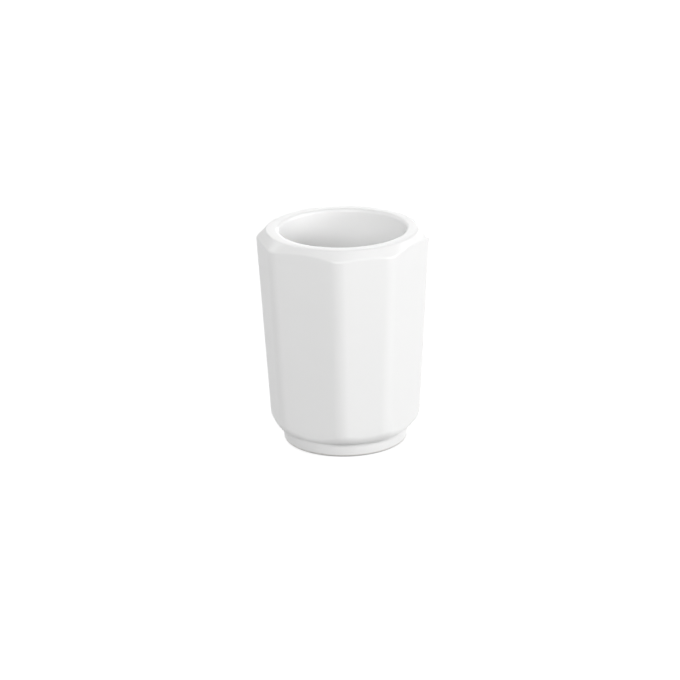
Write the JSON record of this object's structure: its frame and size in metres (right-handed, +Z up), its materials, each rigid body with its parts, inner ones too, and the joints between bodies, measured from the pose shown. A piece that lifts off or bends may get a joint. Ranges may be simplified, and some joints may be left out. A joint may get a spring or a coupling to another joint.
{
  "type": "toothbrush holder",
  "caption": "Faceted white ceramic tumbler that stands toothbrushes on a counter, on small anti-slip pads under its foot.",
  "frame": {"origin": "middle of the plane that the pads stand on, on the cup's axis", "axes": "+Z up along the cup's axis, +X and +Y square to two of the wide sides"},
  "size_m": [0.0718, 0.0718, 0.1005],
  "materials": {
    "glazed_ceramic": "plain white gloss glaze, matt where the foot ring is bare",
    "pad_rubber": "pale grey matt foam rubber"
  },
  "bodies": {
    "root": {"tumbler": "glazed_ceramic", "antislip_pad_1": "pad_rubber", "antislip_pad_2": "pad_rubber", "antislip_pad_3": "pad_rubber", "antislip_pad_4": "pad_rubber"}
  },
  "joints": []
}
